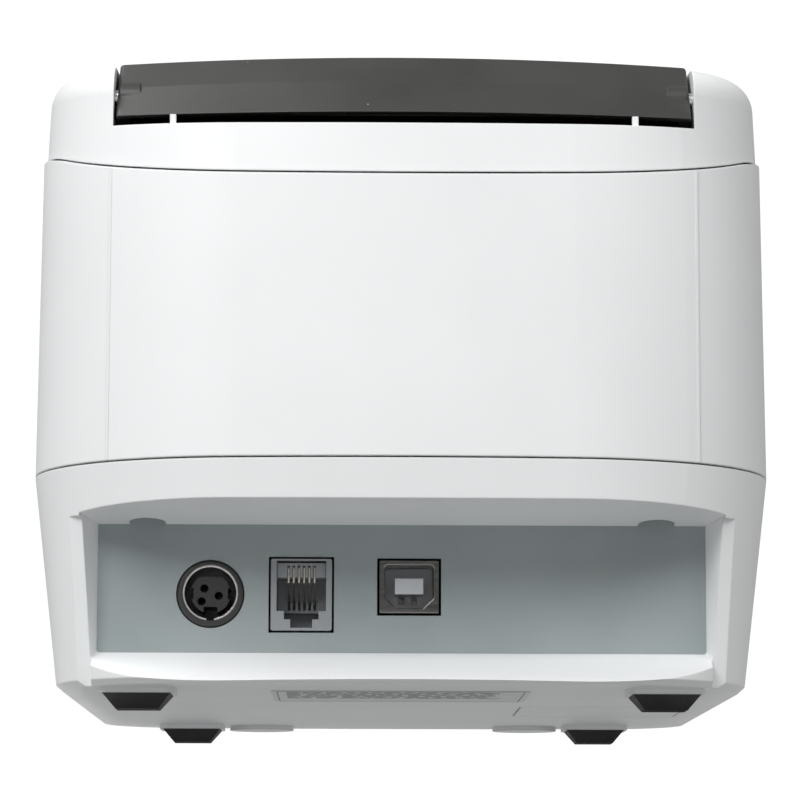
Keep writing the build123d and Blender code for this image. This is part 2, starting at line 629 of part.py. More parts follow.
# ================================================================ paper bucket
with BuildPart() as roll_bucket:
    with BuildSketch(Plane.YZ):
        with Locations((ROLL_Y, ROLL_Z)):
            Circle(BUCKET_R + BUCKET_T)
        with Locations((ROLL_Y, (ROLL_Z + BUCKET_RIM_Z) / 2)):
            Rectangle(2 * (BUCKET_R + BUCKET_T), BUCKET_RIM_Z - ROLL_Z)
    extrude(amount=BUCKET_X + BUCKET_T, both=True)
    with BuildSketch(Plane.YZ):
        with Locations((ROLL_Y, ROLL_Z)):
            Circle(BUCKET_R)
        with Locations((ROLL_Y, ROLL_Z + 30)):
            Rectangle(2 * BUCKET_R, 60)
    extrude(amount=BUCKET_X, both=True, mode=Mode.SUBTRACT)
    with BuildSketch(Plane.XY.offset(BUCKET_RIM_Z)):
        with Locations((0, ROLL_Y)):
            Rectangle(130, 100)
    extrude(amount=30, mode=Mode.SUBTRACT)
    with BuildSketch(Plane.XY.offset(BUCKET_RIM_Z - BUCKET_T)):
        with Locations((0, ROLL_Y)):
            RectangleRounded(122, 94, 5)
            Rectangle(2 * BUCKET_X, 2 * BUCKET_R, mode=Mode.SUBTRACT)
    extrude(amount=BUCKET_T)
write(roll_bucket, "roll_bucket")

with BuildPart() as paper_guide:
    with BuildSketch(Plane.YZ):
        with BuildLine():
            Polyline((-22.2, 98.3), (-26.5, 98.3), (-31.5, 93.0), (-30.2, 92.0), (-25.6, 96.8),
                     (-22.2, 96.8), (-22.2, 98.3))
        make_face()
    extrude(amount=41, both=True)
write(paper_guide, "paper_guide")

with BuildPart() as paper_end_sensor:
    with BuildSketch(Plane.YZ.offset(BUCKET_X + BUCKET_T + 0.2)):
        with Locations((ROLL_Y - 8, ROLL_Z - 26)):
            RectangleRounded(14, 11, 1.5)
    extrude(amount=6)
write(paper_end_sensor, "paper_end_sensor")

# ================================================================ circuit boards
with BuildPart() as main_board:
    with BuildSketch(Plane.XY.offset(BOARD_Z)):
        with Locations((0, 24)):
            Rectangle(112, 90)
        with Locations(*BOARD_POSTS):
            Circle(1.25, mode=Mode.SUBTRACT)
    extrude(amount=BOARD_T)
write(main_board, "main_board")

with BuildPart() as board_chips:
    with BuildSketch(Plane.XY.offset(BOARD_Z + BOARD_T)):
        with Locations((-42, 30), (40, -8)):
            Rectangle(14, 14)
        with Locations((-34, 4), (46, 34)):
            Rectangle(6, 10)
    extrude(amount=1.6)
write(board_chips, "board_chips")

with BuildPart() as board_capacitors:
    with BuildSketch(Plane.XY.offset(BOARD_Z + BOARD_T)):
        with Locations((50, 46), (-50, 46)):
            Circle(4)
    extrude(amount=11)
write(board_capacitors, "board_capacitors")

with BuildPart() as board_screws:
    for x, y in BOARD_POSTS:
        with BuildSketch(Plane.XY.offset(BOARD_Z + BOARD_T)):
            with Locations((x, y)):
                Circle(2.6)
        extrude(amount=1.6)
        with BuildSketch(Plane.XY.offset(BOARD_Z)):
            with Locations((x, y)):
                Circle(1.2)
        extrude(amount=BOARD_T)
write(board_screws, "board_screws")

# ================================================================ rear panel and connectors
DRAWER_W, DRAWER_H, DRAWER_L = 12.0, 14.1, 14.0
DRAWER_PITCH, DRAWER_WAYS = 1.02, 6
USB_W, USB_H, USB_L = 11.75, 10.45, 13.0
USB_MOUTH_W, USB_MOUTH_H = 9.5, 8.4
USB_MOUTH_BEVEL, USB_MOUTH_ROUND = 2.1, 0.6
JACK_R, JACK_L = 6.55, 13.0
JACK_RING_R, JACK_RING_Z = 5.45, JACK_Z + 0.25

with BuildPart() as rear_panel:
    with BuildSketch(Plane.XZ.offset(-PANEL_Y)):
        with Locations((0, (BAY_LOW + BAY_HIGH) / 2)):
            Rectangle(2 * BAY_X + 3.6, BAY_HIGH - BAY_LOW + 3.6)
        with Locations((JACK_X, JACK_Z)):
            Circle(JACK_R + 0.15, mode=Mode.SUBTRACT)
        with Locations((DRAWER_X, DRAWER_Z)):
            Rectangle(DRAWER_W + 0.8, DRAWER_H + 0.8, mode=Mode.SUBTRACT)
        with Locations((USB_X, USB_Z)):
            Rectangle(USB_W + 0.8, USB_H + 0.8, mode=Mode.SUBTRACT)
    extrude(amount=PANEL_T)
write(rear_panel, "rear_panel")

FACE_Y = PANEL_Y + 0.3        # connector faces stand just proud of the panel


def face_plane(depth):
    """Plane facing into the printer, depth behind the connector faces."""
    return Plane.XZ.offset(depth - FACE_Y)


with BuildPart() as power_jack_shell:
    with BuildSketch(face_plane(0)):
        with Locations((JACK_X, JACK_Z)):
            Circle(JACK_R)
    extrude(amount=JACK_L)
    with BuildSketch(face_plane(0)):
        with Locations((JACK_X, JACK_RING_Z)):
            Circle(JACK_RING_R + 0.05)
    extrude(amount=JACK_L - 1.5, mode=Mode.SUBTRACT)
    fillet(power_jack_shell.edges().group_by(Axis.Y)[-1].sort_by(SortBy.LENGTH)[-1], radius=0.5)
write(power_jack_shell, "power_jack_shell")

with BuildPart() as power_jack_ring:
    with BuildSketch(face_plane(0.6)):
        with Locations((JACK_X, JACK_RING_Z)):
            Circle(JACK_RING_R)
            Circle(JACK_RING_R - 0.35, mode=Mode.SUBTRACT)
        with Locations((JACK_X, JACK_RING_Z - JACK_RING_R)):
            Rectangle(1.5, 2, mode=Mode.SUBTRACT)
    extrude(amount=JACK_L - 2.4)
write(power_jack_ring, "power_jack_ring")

with BuildPart() as power_jack_insert:
    with BuildSketch(face_plane(2.2)):
        with Locations((JACK_X, JACK_RING_Z)):
            Circle(3.95)
        # keys at the top, the bottom and both sides
        with Locations((JACK_X, JACK_RING_Z + 4.1)):
            Rectangle(7, 1.6, mode=Mode.SUBTRACT)
        with Locations((JACK_X, JACK_RING_Z - 3.65)):
            Rectangle(2.65, 2.0, mode=Mode.SUBTRACT)
        with Locations((JACK_X + 3.85, JACK_RING_Z), (JACK_X - 3.85, JACK_RING_Z)):
            Rectangle(0.9, 2.1, mode=Mode.SUBTRACT)
        with Locations((JACK_X + 1.26, JACK_RING_Z + 1.0), (JACK_X - 1.58, JACK_RING_Z - 0.45),
                       (JACK_X + 1.76, JACK_RING_Z - 1.55)):
            Circle(0.8, mode=Mode.SUBTRACT)
    extrude(amount=JACK_L - 3.7)
write(power_jack_insert, "power_jack_insert")

with BuildPart() as drawer_jack:
    with BuildSketch(face_plane(0)) as drawer_face:
        with Locations((DRAWER_X, DRAWER_Z)):
            Rectangle(DRAWER_W, DRAWER_H)
        fillet(drawer_face.vertices(), radius=0.4)
    extrude(amount=DRAWER_L)
    # plug cavity, with the stepped channel for the plug's latch below it
    with BuildSketch(face_plane(0)):
        with Locations((DRAWER_X, DRAWER_Z + 1.75)):
            Rectangle(9.7, 9.9)
        with Locations((DRAWER_X, DRAWER_Z - 4.0)):
            Rectangle(6.8, 1.7)
        with Locations((DRAWER_X, DRAWER_Z - 5.6)):
            Rectangle(4.3, 1.8)
    extrude(amount=DRAWER_L - 2, mode=Mode.SUBTRACT)
write(drawer_jack, "drawer_jack")

with BuildPart() as drawer_jack_comb:
    # upper comb that holds the contact wires, and the slotted rest behind them
    with BuildSketch(face_plane(1.2)):
        with Locations((DRAWER_X, DRAWER_Z + 4.9)):
            Rectangle(9.6, 2.9)
        with Locations((DRAWER_X, DRAWER_Z + 4.6)):
            with GridLocations(DRAWER_PITCH, 0, DRAWER_WAYS, 1):
                Rectangle(0.5, 2.5, mode=Mode.SUBTRACT)
    extrude(amount=3.0)
    with BuildSketch(face_plane(4.2)):
        with Locations((DRAWER_X, DRAWER_Z + 4.9)):
            Rectangle(9.6, 2.9)
    extrude(amount=7.7)
    with BuildSketch(face_plane(9.0)):
        with Locations((DRAWER_X, DRAWER_Z + 0.3)):
            Rectangle(9.6, 6.6)
        with Locations((DRAWER_X, DRAWER_Z - 1.4)):
            with GridLocations(DRAWER_PITCH, 0, DRAWER_WAYS, 1):
                Rectangle(0.5, 2.0, mode=Mode.SUBTRACT)
    extrude(amount=2.9)
write(drawer_jack_comb, "drawer_jack_comb")

with BuildPart() as drawer_jack_contacts:
    # spring wires that slant back and down from the upper comb
    with BuildSketch(Plane.YZ.offset(DRAWER_X)):
        with BuildLine():
            Polyline((FACE_Y - 3.5, DRAWER_Z + 5.6), (FACE_Y - 3.5, DRAWER_Z + 2.9),
                     (FACE_Y - 8.6, DRAWER_Z - 0.6), (FACE_Y - 8.6, DRAWER_Z - 1.1),
                     (FACE_Y - 3.2, DRAWER_Z + 2.6), (FACE_Y - 3.2, DRAWER_Z + 5.6),
                     (FACE_Y - 3.5, DRAWER_Z + 5.6))
        make_face()
    wire = extrude(amount=0.17, both=True, mode=Mode.PRIVATE)
    with GridLocations(DRAWER_PITCH, 0, DRAWER_WAYS, 1):
        add(wire)
write(drawer_jack_contacts, "drawer_jack_contacts")

with BuildPart() as usb_shell:
    with BuildSketch(face_plane(0)) as usb_face:
        with Locations((USB_X, USB_Z)):
            Rectangle(USB_W, USB_H)
        fillet(usb_face.vertices(), radius=0.3)
    extrude(amount=USB_L)
    with BuildSketch(face_plane(0)) as usb_mouth:
        with Locations((USB_X, USB_Z)):
            Rectangle(USB_MOUTH_W, USB_MOUTH_H)
        chamfer(usb_mouth.vertices().group_by(Axis.Y)[0], length=USB_MOUTH_BEVEL)
        fillet(usb_mouth.vertices().group_by(Axis.Y)[-1], radius=USB_MOUTH_ROUND)
    extrude(amount=USB_L - 1.2, mode=Mode.SUBTRACT)
    fillet(usb_shell.faces().sort_by(Axis.Y)[-1].edges(), radius=0.28)
write(usb_shell, "usb_shell")

with BuildPart() as usb_tongue:
    # tongue on its base block, with the contact slots below it
    with BuildSketch(face_plane(1.2)):
        with Locations((USB_X, USB_Z + 0.2)):
            Rectangle(5.6, 3.1)
    extrude(amount=USB_L - 2.6)
    with BuildSketch(face_plane(7.0)) as usb_base:
        with Locations((USB_X, USB_Z)):
            Rectangle(USB_MOUTH_W - 0.1, USB_MOUTH_H - 0.1)
        chamfer(usb_base.vertices().group_by(Axis.Y)[0], length=USB_MOUTH_BEVEL)
        fillet(usb_base.vertices().group_by(Axis.Y)[-1], radius=USB_MOUTH_ROUND)
        with Locations((USB_X + 0.2, USB_Z - 2.2)):
            with GridLocations(2.45, 0, 2, 1):
                Rectangle(1.2, 1.5, mode=Mode.SUBTRACT)
    extrude(amount=4.6)
write(usb_tongue, "usb_tongue")

# ================================================================ cutter
with BuildPart() as fixed_blade:
    with BuildSketch(Plane.XY.offset(BLADE_Z + BLADE_T + 0.3)):
        with Locations((0, (LID_FRONT - 45.5) / 2)):
            Rectangle(2 * BLADE_HALF, -45.5 - LID_FRONT)
    extrude(amount=1.0)
write(fixed_blade, "fixed_blade")

with BuildPart() as blade_carrier:
    with BuildSketch(Plane.XY.offset(BLADE_Z + BLADE_T + 1.3)):
        with Locations((0, LID_FRONT + 1.2)):
            Rectangle(2 * BLADE_HALF, 2.4)
    extrude(amount=LID_SKIRT[1] - BLADE_Z - BLADE_T - 1.3)
write(blade_carrier, "blade_carrier")

PINION_R = MODULE * PINION_TEETH / 2
RACK_PITCH_Z = BLADE_Z - 0.8
CUTTER_PINION_AT = (-70.0, RACK_PITCH_Z - PINION_R)

with BuildPart() as moving_blade:
    with BuildSketch(Plane.XY.offset(BLADE_Z)):
        with BuildLine():
            Polyline((-BLADE_HALF, BLADE_BACK), (BLADE_HALF, BLADE_BACK), (BLADE_HALF, BLADE_TIP),
                     (0, BLADE_TIP - 1.6), (-BLADE_HALF, BLADE_TIP), (-BLADE_HALF, BLADE_BACK))
        make_face()
    extrude(amount=BLADE_T)
    # rack teeth under the blade, a gap in line with the pinion's upper tooth
    pitch = pi * MODULE
    tooth_half = pitch / 4 - 0.05
    flank = tan(PRESSURE)
    with BuildSketch(Plane.YZ.offset(RACK_X)):
        with Locations(*[(CUTTER_PINION_AT[0] + (i + 0.5) * pitch, RACK_PITCH_Z) for i in range(-6, 2)]):
            Polygon((tooth_half + 0.8 * flank, 0.8), (tooth_half - 0.64 * flank, -0.64),
                    (-tooth_half + 0.64 * flank, -0.64), (-tooth_half - 0.8 * flank, 0.8), align=None)
    extrude(amount=RACK_W)
write(moving_blade, "moving_blade")

with BuildPart() as cutter_pinion:
    extrude(gear_face(PINION_TEETH, RACK_X, CUTTER_PINION_AT, 90.0), amount=RACK_W)
    with BuildSketch(Plane.YZ.offset(RACK_X - 3.5)):
        with Locations(CUTTER_PINION_AT):
            Circle(1.0)
    extrude(amount=RACK_W + 3)
write(cutter_pinion, "cutter_pinion")

with BuildPart() as cutter_motor:
    with BuildSketch(Plane.YZ.offset(RACK_X - 3)):
        with Locations(CUTTER_PINION_AT):
            Circle(5.2)
            Circle(1.1, mode=Mode.SUBTRACT)
    extrude(amount=-22)
    with BuildSketch(Plane.XY.offset(CUTTER_LOW + 2)):
        with Locations((RACK_X - 10, CUTTER_PINION_AT[0])):
            Rectangle(8, 8)
    extrude(amount=5)
write(cutter_motor, "cutter_motor")

with BuildPart() as cutter_frame:
    with BuildSketch(Plane.XY.offset(CUTTER_LOW)):
        with Locations((0, -73)):
            Rectangle(90.8, 30)
            Rectangle(40, 16, mode=Mode.SUBTRACT)
        with Locations((RACK_X + 2, CUTTER_PINION_AT[0])):
            Rectangle(8, 16, mode=Mode.SUBTRACT)
        with Locations((RACK_X - 10, CUTTER_PINION_AT[0])):
            Rectangle(8, 8)
    extrude(amount=2)
    for side in (-1, 1):
        with BuildSketch(Plane.XZ.offset(58)):
            with Locations((side * 43.9, (CUTTER_LOW + CUTTER_HIGH) / 2)):
                Rectangle(3, CUTTER_HIGH - CUTTER_LOW)
            with Locations((side * 41.5, BLADE_Z - 1.2)):
                Rectangle(3.4, 2.0)
            with Locations((side * 41.5, CUTTER_HIGH - 0.4)):
                Rectangle(3.4, 0.8)
            with Locations((side * 42, BLADE_Z + BLADE_T / 2)):
                Rectangle(0.7, BLADE_T + 0.4, mode=Mode.SUBTRACT)
        extrude(amount=30)
write(cutter_frame, "cutter_frame")

# ================================================================ controls
PANEL_MID = (sum(CONTROL_X) / 2, sum(CONTROL_Y) / 2)
FEED_AT = (42.0, -74.0)
LIGHTS = [(x, -74.0) for x in (20.0, 26.0, 32.0)]

with BuildPart() as control_panel:
    extrude(under_roof(CONTROL_Y[0] - 1, CONTROL_Y[1] + 1, 114.6, 0.2), amount=60)
    with BuildSketch(Plane.XY.offset(110)):
        with Locations(PANEL_MID):
            RectangleRounded(CONTROL_X[1] - CONTROL_X[0], CONTROL_Y[1] - CONTROL_Y[0], 4)
    extrude(amount=30, mode=Mode.INTERSECT)
    extrude(under_roof(CONTROL_Y[0] - 1, CONTROL_Y[1] + 1, 113, -2.0), amount=60, mode=Mode.SUBTRACT)
    with BuildSketch(Plane.XY.offset(110)):
        with Locations(FEED_AT):
            RectangleRounded(14.6, 12.6, 3.3)
        with Locations(*LIGHTS):
            Circle(1.3)
    extrude(amount=30, mode=Mode.SUBTRACT)
write(control_panel, "control_panel")

with BuildPart() as button_board:
    with BuildSketch(Plane.XY.offset(113.0)):
        with Locations(PANEL_MID):
            Rectangle(40, 22)
    extrude(amount=1.2)
    with BuildSketch(Plane.XY.offset(114.2)):
        with Locations(FEED_AT):
            Rectangle(6, 6)
    extrude(amount=1.6)
write(button_board, "button_board")

with BuildPart() as feed_button:
    extrude(under_roof(FEED_AT[1] - 9, FEED_AT[1] + 9, 118.4, 1.4), amount=60)
    with BuildSketch(Plane.XY.offset(110)):
        with Locations(FEED_AT):
            RectangleRounded(14, 12, 3)
    extrude(amount=30, mode=Mode.INTERSECT)
    with BuildSketch(Plane.XY.offset(117.2)):
        with Locations(FEED_AT):
            Circle(1.6)
    extrude(amount=1.4)
write(feed_button, "feed_button")

with BuildPart() as light_pipes:
    for x, y in LIGHTS:
        with BuildSketch(Plane.XY.offset(114.3)):
            with Locations((x, y)):
                Circle(1.25)
        extrude(amount=roof_z(y, 0.5) - 114.3)
write(light_pipes, "light_pipes")

LATCH_PIVOT = (-27.5, 100.0)
LATCH_ARM = 14.0
with BuildPart() as release_button:
    extrude(under_roof(RELEASE_Y - 12, RELEASE_Y + 12, 113.0, 1.8), amount=80)
    with BuildSketch(Plane.XY.offset(100)):
        with Locations((RELEASE_X, RELEASE_Y)):
            RectangleRounded(RELEASE_W, RELEASE_L, 2)
    extrude(amount=40, mode=Mode.INTERSECT)
    with BuildSketch(Plane.XY.offset(102.95)):
        with Locations((RELEASE_X, LATCH_PIVOT[0] - 10.5)):
            Rectangle(3, 2)
    extrude(amount=10.5)
write(release_button, "release_button")

with BuildPart() as release_latch:
    with BuildSketch(Plane.YZ.offset(RELEASE_X - 1.5)):
        with Locations(LATCH_PIVOT):
            Circle(4)
        with BuildLine():
            Polyline((LATCH_PIVOT[0], LATCH_PIVOT[1] - 3), (LATCH_PIVOT[0] - LATCH_ARM, LATCH_PIVOT[1] - 0.5),
                     (LATCH_PIVOT[0] - LATCH_ARM, LATCH_PIVOT[1] + 2.5), (LATCH_PIVOT[0], LATCH_PIVOT[1] + 3),
                     (LATCH_PIVOT[0], LATCH_PIVOT[1] - 3))
        make_face()
    extrude(amount=3)
    with Locations((RELEASE_X, *LATCH_PIVOT)):
        Cylinder(1.5 + RUNNING, 30, rotation=(0, 90, 0), mode=Mode.SUBTRACT)
write(release_latch, "release_latch")

with BuildPart() as latch_pivot_pin:
    with BuildSketch(Plane.YZ.offset(SIDE_PLATE_X + SIDE_PLATE_T)):
        with Locations(LATCH_PIVOT):
            Circle(1.5)
    extrude(amount=RELEASE_X + 2 - SIDE_PLATE_X - SIDE_PLATE_T)
write(latch_pivot_pin, "latch_pivot_pin")

SWITCH_FACE_Y = FRONT + BASE_TAPER * (SEAM_Z - SWITCH_Z) / (SEAM_Z - FLOOR_Z) + 1.4
ROCKER_AXIS_Y = SWITCH_FACE_Y + 3.2
ROCKER_TILT = 8.0

with BuildPart() as switch_body:
    with BuildSketch(Plane.XZ.offset(-SWITCH_FACE_Y)):
        with Locations((SWITCH_X, SWITCH_Z)):
            Rectangle(SWITCH_W - 0.2, SWITCH_H - 0.2)
    extrude(amount=-16)
    with BuildSketch(Plane.XZ.offset(-SWITCH_FACE_Y)):
        with Locations((SWITCH_X, SWITCH_Z)):
            Rectangle(SWITCH_W - 2.4, SWITCH_H - 2.4)
    extrude(amount=-10, mode=Mode.SUBTRACT)
    with Locations((SWITCH_X, ROCKER_AXIS_Y, SWITCH_Z)):
        Cylinder(1.0, SWITCH_W - 1, rotation=(0, 90, 0))
write(switch_body, "switch_body")

rocker_plane = Plane(origin=(SWITCH_X, ROCKER_AXIS_Y, SWITCH_Z),
                     x_dir=(0, cos(radians(ROCKER_TILT)), sin(radians(ROCKER_TILT))), z_dir=(1, 0, 0))
with BuildPart() as power_rocker:
    with BuildSketch(rocker_plane):
        with BuildLine():
            Polyline((-4.6, 7.4), (-3.0, 0), (-4.6, -7.4), (1.5, -7.0), (3.5, 0), (1.5, 7.0), (-4.6, 7.4))
        make_face()
    extrude(amount=(SWITCH_W - 3.2) / 2, both=True)
    with Locations((SWITCH_X, ROCKER_AXIS_Y, SWITCH_Z)):
        Cylinder(1.0 + RUNNING, SWITCH_W, rotation=(0, 90, 0), mode=Mode.SUBTRACT)
write(power_rocker, "power_rocker")

# ================================================================ underside
with BuildPart() as access_cover:
    with BuildSketch(Plane.XY.offset(FLOOR_Z)):
        with Locations((sum(ACCESS_X) / 2, sum(ACCESS_Y) / 2)):
            RectangleRounded(ACCESS_X[1] - ACCESS_X[0] - 0.8, ACCESS_Y[1] - ACCESS_Y[0] - 0.8, 1.6)
    extrude(amount=WALL)
write(access_cover, "access_cover")

with BuildPart() as rating_label:
    with BuildSketch(Plane.XY.offset(FLOOR_Z - 0.15)):
        with Locations((0, REAR - 51)):
            RectangleRounded(51.6, 36, 1.5)
    extrude(amount=0.15)
write(rating_label, "rating_label")

for end, (foot_x, foot_y) in (("rear", REAR_FOOT), ("front", FRONT_FOOT)):
    for side, sign in (("left", 1), ("right", -1)):
        with BuildPart() as foot:
            with BuildSketch(Plane.XY) as tip:
                with Locations((sign * foot_x, foot_y)):
                    Rectangle(FOOT_TIP, FOOT_TIP)
            with BuildSketch(Plane.XY.offset(FOOT_H)) as shoulder:
                with Locations((sign * foot_x, foot_y)):
                    Rectangle(FOOT_TOP, FOOT_TOP)
            loft(ruled=True)
            with BuildSketch(Plane.XY.offset(FOOT_H)):
                with Locations((sign * foot_x, foot_y)):
                    Rectangle(FOOT_TOP, FOOT_TOP)
            extrude(amount=FLOOR_Z - FOOT_H)
        write(foot, "foot_" + end + "_" + side)
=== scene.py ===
"""Looks for a desktop receipt printer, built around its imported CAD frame.

The printer stands on z = 0 with its sockets towards +Y. The camera looks at
its rear from slightly below.
"""
import json
import math
import random

import bmesh
import bpy
from mathutils import Matrix, Vector
from mathutils.bvhtree import BVHTree


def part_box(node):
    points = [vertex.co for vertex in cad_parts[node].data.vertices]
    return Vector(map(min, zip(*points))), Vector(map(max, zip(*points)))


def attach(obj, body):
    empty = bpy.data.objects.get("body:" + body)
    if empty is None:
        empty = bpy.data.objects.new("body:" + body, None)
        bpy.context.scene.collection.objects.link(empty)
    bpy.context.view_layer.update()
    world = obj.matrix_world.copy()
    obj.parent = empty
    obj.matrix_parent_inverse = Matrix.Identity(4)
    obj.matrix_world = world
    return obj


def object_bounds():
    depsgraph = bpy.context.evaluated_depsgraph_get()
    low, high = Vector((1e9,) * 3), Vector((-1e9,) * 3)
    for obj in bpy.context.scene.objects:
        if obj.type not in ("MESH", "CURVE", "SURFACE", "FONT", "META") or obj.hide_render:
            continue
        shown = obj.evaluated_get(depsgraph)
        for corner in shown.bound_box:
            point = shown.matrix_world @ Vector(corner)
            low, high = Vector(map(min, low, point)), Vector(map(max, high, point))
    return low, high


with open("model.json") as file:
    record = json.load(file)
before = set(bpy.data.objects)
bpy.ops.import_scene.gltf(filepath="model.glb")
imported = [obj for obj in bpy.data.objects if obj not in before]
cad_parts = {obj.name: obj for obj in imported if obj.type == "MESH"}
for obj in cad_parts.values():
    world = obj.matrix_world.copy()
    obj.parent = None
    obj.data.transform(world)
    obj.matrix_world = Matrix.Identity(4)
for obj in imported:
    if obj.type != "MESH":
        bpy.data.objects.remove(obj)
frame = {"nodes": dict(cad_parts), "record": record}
cad_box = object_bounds()
nodes = frame["nodes"]
MM = 0.001

RAMP_SPAN = (0.35, 0.65)            # share of a noise over which one colour turns into the other
BEVEL_SAMPLES = 4
DUST_SCALE, DUST_SIZE = 160.0, 0.028
BRUSH_STRETCH = (1, 40, 40)         # how much finer brushed lines are across X than along it
BRUSH_SCALE = 60.0


# ---------------------------------------------------------------- node helpers
def new_material(name):
    """An empty material with a shader, and a helper that adds and links nodes."""
    material = bpy.data.materials.new(name)
    material.use_nodes = True
    tree = material.node_tree
    return material, tree, tree.nodes["Principled BSDF"]


def add_node(tree, kind, **values):
    """A node whose named inputs and properties are set."""
    node = tree.nodes.new(kind)
    for key, value in values.items():
        if key in node.inputs:
            node.inputs[key].default_value = value
        else:
            setattr(node, key, value)
    return node


def noise(tree, coords, scale, detail=2.0, roughness=0.5):
    node = add_node(tree, "ShaderNodeTexNoise", Scale=scale, Detail=detail, Roughness=roughness)
    tree.links.new(coords.outputs["Object"], node.inputs["Vector"])
    return node


def ramp(tree, source, low, high):
    """Colour ramp from low to high over the source's factor."""
    node = tree.nodes.new("ShaderNodeValToRGB")
    for stop, position, colour in zip(node.color_ramp.elements, RAMP_SPAN, (low, high)):
        stop.position = position
        stop.color = (*colour, 1)
    tree.links.new(source, node.inputs["Fac"])
    return node


def grey(value, warm=0.0):
    """A near-neutral linear colour; warm above 0 takes a little blue out."""
    return (value, value * (1 - warm * 0.35), value * (1 - warm))


def dusted(tree, coords, colour, tint):
    """Scatters small round specks of tint over a colour."""
    cells = add_node(tree, "ShaderNodeTexVoronoi", Scale=DUST_SCALE)
    tree.links.new(coords.outputs["Object"], cells.inputs["Vector"])
    inside = add_node(tree, "ShaderNodeMath", operation="LESS_THAN")
    inside.inputs[1].default_value = DUST_SIZE
    tree.links.new(cells.outputs["Distance"], inside.inputs[0])
    mix = add_node(tree, "ShaderNodeMixRGB")
    mix.inputs["Color2"].default_value = (*tint, 1)
    tree.links.new(inside.outputs["Value"], mix.inputs["Fac"])
    tree.links.new(colour, mix.inputs["Color1"])
    return mix.outputs["Color"]


def uneven_gloss(tree, shader, source, roughness):
    """Lets the source's factor move the roughness between two values."""
    gloss = tree.nodes.new("ShaderNodeMapRange")
    gloss.inputs["To Min"].default_value = roughness[0]
    gloss.inputs["To Max"].default_value = roughness[1]
    tree.links.new(source, gloss.inputs["Value"])
    tree.links.new(gloss.outputs["Result"], shader.inputs["Roughness"])


def relief(tree, shader, source, bump, depth, edge):
    """Raises the surface by the source's factor and softens its edges; depth and edge in mm."""
    rounded = add_node(tree, "ShaderNodeBevel", Radius=edge * MM, samples=BEVEL_SAMPLES)
    raised = add_node(tree, "ShaderNodeBump", Strength=bump, Distance=depth * MM)
    tree.links.new(source, raised.inputs["Height"])
    tree.links.new(rounded.outputs["Normal"], raised.inputs["Normal"])
    tree.links.new(raised.outputs["Normal"], shader.inputs["Normal"])


def surface(name, low, high, roughness=(0.4, 0.5), blotch=60.0, grain=2500.0, bump=0.1, depth=0.02,
            edge=0.25, dust=None):
    """Moulded, painted or machined surface: blotched colour, uneven gloss, fine grain, soft edges."""
    material, tree, shader = new_material(name)
    coords = tree.nodes.new("ShaderNodeTexCoord")
    patches = noise(tree, coords, blotch, 4.0)
    colour = ramp(tree, patches.outputs["Fac"], low, high).outputs["Color"]
    if dust:
        colour = dusted(tree, coords, colour, dust)
    tree.links.new(colour, shader.inputs["Base Color"])
    uneven_gloss(tree, shader, noise(tree, coords, blotch * 3, 3.0).outputs["Fac"], roughness)
    relief(tree, shader, noise(tree, coords, grain, 3.0, 0.6).outputs["Fac"], bump, depth, edge)
    return material


def brushed(name, low, high, roughness=(0.25, 0.4), edge=0.15):
    """Rolled or drawn metal with fine lines along X."""
    material, tree, shader = new_material(name)
    coords = tree.nodes.new("ShaderNodeTexCoord")
    mapping = add_node(tree, "ShaderNodeMapping", Scale=BRUSH_STRETCH)
    tree.links.new(coords.outputs["Object"], mapping.inputs["Vector"])
    lines = add_node(tree, "ShaderNodeTexNoise", Scale=BRUSH_SCALE, Detail=3.0)
    tree.links.new(mapping.outputs["Vector"], lines.inputs["Vector"])
    colour = ramp(tree, lines.outputs["Fac"], low, high)
    tree.links.new(colour.outputs["Color"], shader.inputs["Base Color"])
    uneven_gloss(tree, shader, lines.outputs["Fac"], roughness)
    relief(tree, shader, lines.outputs["Fac"], 0.15, 0.01, edge)
    shader.inputs["Metallic"].default_value = 1.0
    return material


def clear_plastic(name):
    """Light pipe: clear, faintly clouded."""
    material, tree, shader = new_material(name)
    coords = tree.nodes.new("ShaderNodeTexCoord")
    colour = ramp(tree, noise(tree, coords, 300.0).outputs["Fac"], (0.72, 0.82, 0.76), (0.86, 0.93, 0.88))
    tree.links.new(colour.outputs["Color"], shader.inputs["Base Color"])
    shader.inputs["Roughness"].default_value = 0.18
    shader.inputs["Transmission Weight"].default_value = 0.6
    shader.inputs["IOR"].default_value = 1.58
    return material


